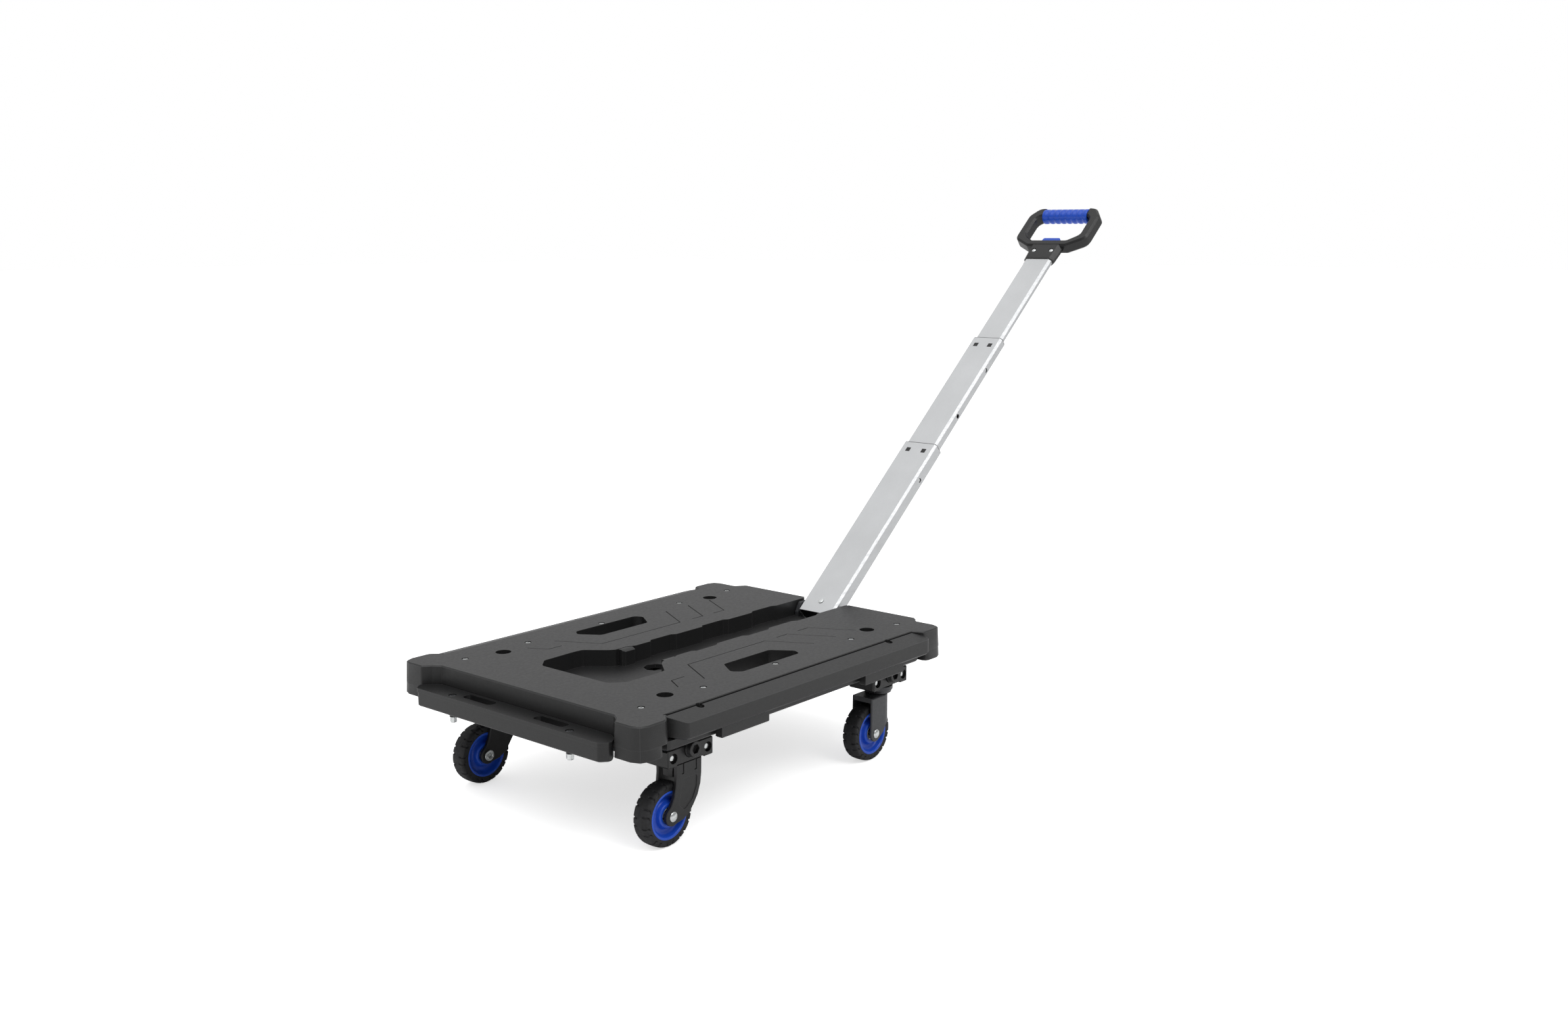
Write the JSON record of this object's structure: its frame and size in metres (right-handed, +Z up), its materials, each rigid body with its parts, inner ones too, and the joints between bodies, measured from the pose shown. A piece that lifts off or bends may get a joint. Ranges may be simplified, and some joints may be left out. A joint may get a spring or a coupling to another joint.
{
  "type": "folding platform cart",
  "caption": "Flat moulded deck on four casters that fold under it, with a hinged two-stage telescopic tow handle ending in a D-shaped grip.",
  "frame": {"origin": "centre of the bounding box on the floor, with the handle up", "axes": "+X from the low front ledge towards the handle end, +Y across the deck, +Z up"},
  "size_m": [1.2614, 0.4402, 0.7293],
  "materials": {
    "deck_plastic": "fine grained moulding",
    "black_plastic": "satin moulding",
    "blue_plastic": "semi-gloss moulding",
    "tube_aluminium": "sand-blasted and anodised",
    "steel": "bright zinc plated",
    "pressed_steel": "dark semi-gloss coating",
    "tyre_rubber": "matte"
  },
  "bodies": {
    "deck": {"deck_top": "deck_plastic", "deck_base": "black_plastic", "deck_screw_01": "steel", "deck_screw_02": "steel", "deck_screw_03": "steel", "deck_screw_04": "steel", "deck_screw_05": "steel", "deck_screw_06": "steel", "deck_screw_07": "steel", "deck_screw_08": "steel", "deck_screw_09": "steel", "deck_screw_10": "steel", "ledge_bolt_left": "steel", "ledge_bolt_right": "steel", "hinge_bracket": "pressed_steel", "hinge_pin": "steel", "fold_pin_front_left": "steel", "fold_pin_front_right": "steel", "fold_pin_rear_left": "steel", "fold_pin_rear_right": "steel"},
    "outer_stage": {"outer_tube": "tube_aluminium", "outer_bush": "black_plastic", "hinge_plug": "black_plastic", "plug_rivet": "steel"},
    "mid_stage": {"mid_tube": "tube_aluminium", "mid_bush": "black_plastic", "mid_foot": "black_plastic"},
    "inner_stage": {"inner_tube": "tube_aluminium", "inner_foot": "black_plastic", "handle_head": "black_plastic", "grip_sleeve": "blue_plastic"},
    "release": {"release_button": "blue_plastic"},
    "mid_latch": {"mid_lock_pin": "steel"},
    "inner_latch": {"inner_lock_pin": "steel"},
    "leg_front_left": {"fold_block_front_left": "black_plastic", "fork_front_left": "black_plastic", "axle_front_left": "steel"},
    "wheel_front_left": {"tyre_front_left": "tyre_rubber", "hub_front_left": "blue_plastic"},
    "knob_front_left": {"fold_button_front_left": "black_plastic"},
    "leg_front_right": {"fold_block_front_right": "black_plastic", "fork_front_right": "black_plastic", "axle_front_right": "steel"},
    "wheel_front_right": {"tyre_front_right": "tyre_rubber", "hub_front_right": "blue_plastic"},
    "knob_front_right": {"fold_button_front_right": "black_plastic"},
    "leg_rear_left": {"fold_block_rear_left": "black_plastic", "swivel_race_rear_left": "pressed_steel"},
    "swivel_rear_left": {"fork_rear_left": "pressed_steel", "axle_rear_left": "steel"},
    "wheel_rear_left": {"tyre_rear_left": "tyre_rubber", "hub_rear_left": "blue_plastic"},
    "knob_rear_left": {"fold_button_rear_left": "black_plastic"},
    "leg_rear_right": {"fold_block_rear_right": "black_plastic", "swivel_race_rear_right": "pressed_steel"},
    "swivel_rear_right": {"fork_rear_right": "pressed_steel", "axle_rear_right": "steel"},
    "wheel_rear_right": {"tyre_rear_right": "tyre_rubber", "hub_rear_right": "blue_plastic"},
    "knob_rear_right": {"fold_button_rear_right": "black_plastic"}
  },
  "joints": [
    {"name": "handle_fold", "type": "hinge", "parent": "deck", "child": "outer_stage", "pos_m": [-0.04569, 0, 0.1575], "axis": [0, -1, 0], "range_deg": [0, 137]},
    {"name": "mid_slide", "type": "slide", "parent": "outer_stage", "child": "mid_stage", "axis": [-0.7637, 0, -0.6456], "range_m": [0, 0.229]},
    {"name": "inner_slide", "type": "slide", "parent": "mid_stage", "child": "inner_stage", "axis": [-0.7637, 0, -0.6456], "range_m": [0, 0.18]},
    {"name": "release_press", "type": "slide", "parent": "inner_stage", "child": "release", "axis": [-0.7637, 0, -0.6456], "range_m": [0, 0.005], "stiffness_N_per_m": 500, "springref_m": -0.004},
    {"name": "mid_latch_slide", "type": "slide", "parent": "mid_stage", "child": "mid_latch", "axis": [0, 1, 0], "range_m": [0, 0.0025]},
    {"name": "inner_latch_slide", "type": "slide", "parent": "inner_stage", "child": "inner_latch", "axis": [0, 1, 0], "range_m": [0, 0.0025]},
    {"name": "fold_front_left", "type": "hinge", "parent": "deck", "child": "leg_front_left", "pos_m": [-0.50967, 0.1457, 0.1046], "axis": [-1, 0, 0], "range_deg": [0, 90]},
    {"name": "button_front_left", "type": "slide", "parent": "leg_front_left", "child": "knob_front_left", "axis": [0, -1, 0], "range_m": [0, 0.004], "stiffness_N_per_m": 600, "springref_m": -0.003},
    {"name": "spin_front_left", "type": "hinge", "parent": "leg_front_left", "child": "wheel_front_left", "pos_m": [-0.53567, 0.1619, 0.038], "axis": [0, 1, 0], "continuous": true},
    {"name": "fold_front_right", "type": "hinge", "parent": "deck", "child": "leg_front_right", "pos_m": [-0.50967, -0.1457, 0.1046], "axis": [1, 0, 0], "range_deg": [0, 90]},
    {"name": "button_front_right", "type": "slide", "parent": "leg_front_right", "child": "knob_front_right", "axis": [0, 1, 0], "range_m": [0, 0.004], "stiffness_N_per_m": 600, "springref_m": -0.003},
    {"name": "spin_front_right", "type": "hinge", "parent": "leg_front_right", "child": "wheel_front_right", "pos_m": [-0.53567, -0.1619, 0.038], "axis": [0, 1, 0], "continuous": true},
    {"name": "fold_rear_left", "type": "hinge", "parent": "deck", "child": "leg_rear_left", "pos_m": [-0.12707, 0.1457, 0.1046], "axis": [-1, 0, 0], "range_deg": [0, 90]},
    {"name": "button_rear_left", "type": "slide", "parent": "leg_rear_left", "child": "knob_rear_left", "axis": [0, -1, 0], "range_m": [0, 0.004], "stiffness_N_per_m": 600, "springref_m": -0.003},
    {"name": "swivel_rear_left", "type": "hinge", "parent": "leg_rear_left", "child": "swivel_rear_left", "pos_m": [-0.12707, 0.1619, 0.0862], "axis": [0, 0, 1], "continuous": true},
    {"name": "spin_rear_left", "type": "hinge", "parent": "swivel_rear_left", "child": "wheel_rear_left", "pos_m": [-0.15307, 0.1619, 0.038], "axis": [0, 1, 0], "continuous": true},
    {"name": "fold_rear_right", "type": "hinge", "parent": "deck", "child": "leg_rear_right", "pos_m": [-0.12707, -0.1457, 0.1046], "axis": [1, 0, 0], "range_deg": [0, 90]},
    {"name": "button_rear_right", "type": "slide", "parent": "leg_rear_right", "child": "knob_rear_right", "axis": [0, 1, 0], "range_m": [0, 0.004], "stiffness_N_per_m": 600, "springref_m": -0.003},
    {"name": "swivel_rear_right", "type": "hinge", "parent": "leg_rear_right", "child": "swivel_rear_right", "pos_m": [-0.12707, -0.1619, 0.0862], "axis": [0, 0, 1], "continuous": true},
    {"name": "spin_rear_right", "type": "hinge", "parent": "swivel_rear_right", "child": "wheel_rear_right", "pos_m": [-0.15307, -0.1619, 0.038], "axis": [0, 1, 0], "continuous": true}
  ],
  "couplings": [
    {"joint": "mid_latch_slide", "follows": "release_press", "ratio": 0.5},
    {"joint": "inner_latch_slide", "follows": "release_press", "ratio": 0.5}
  ]
}
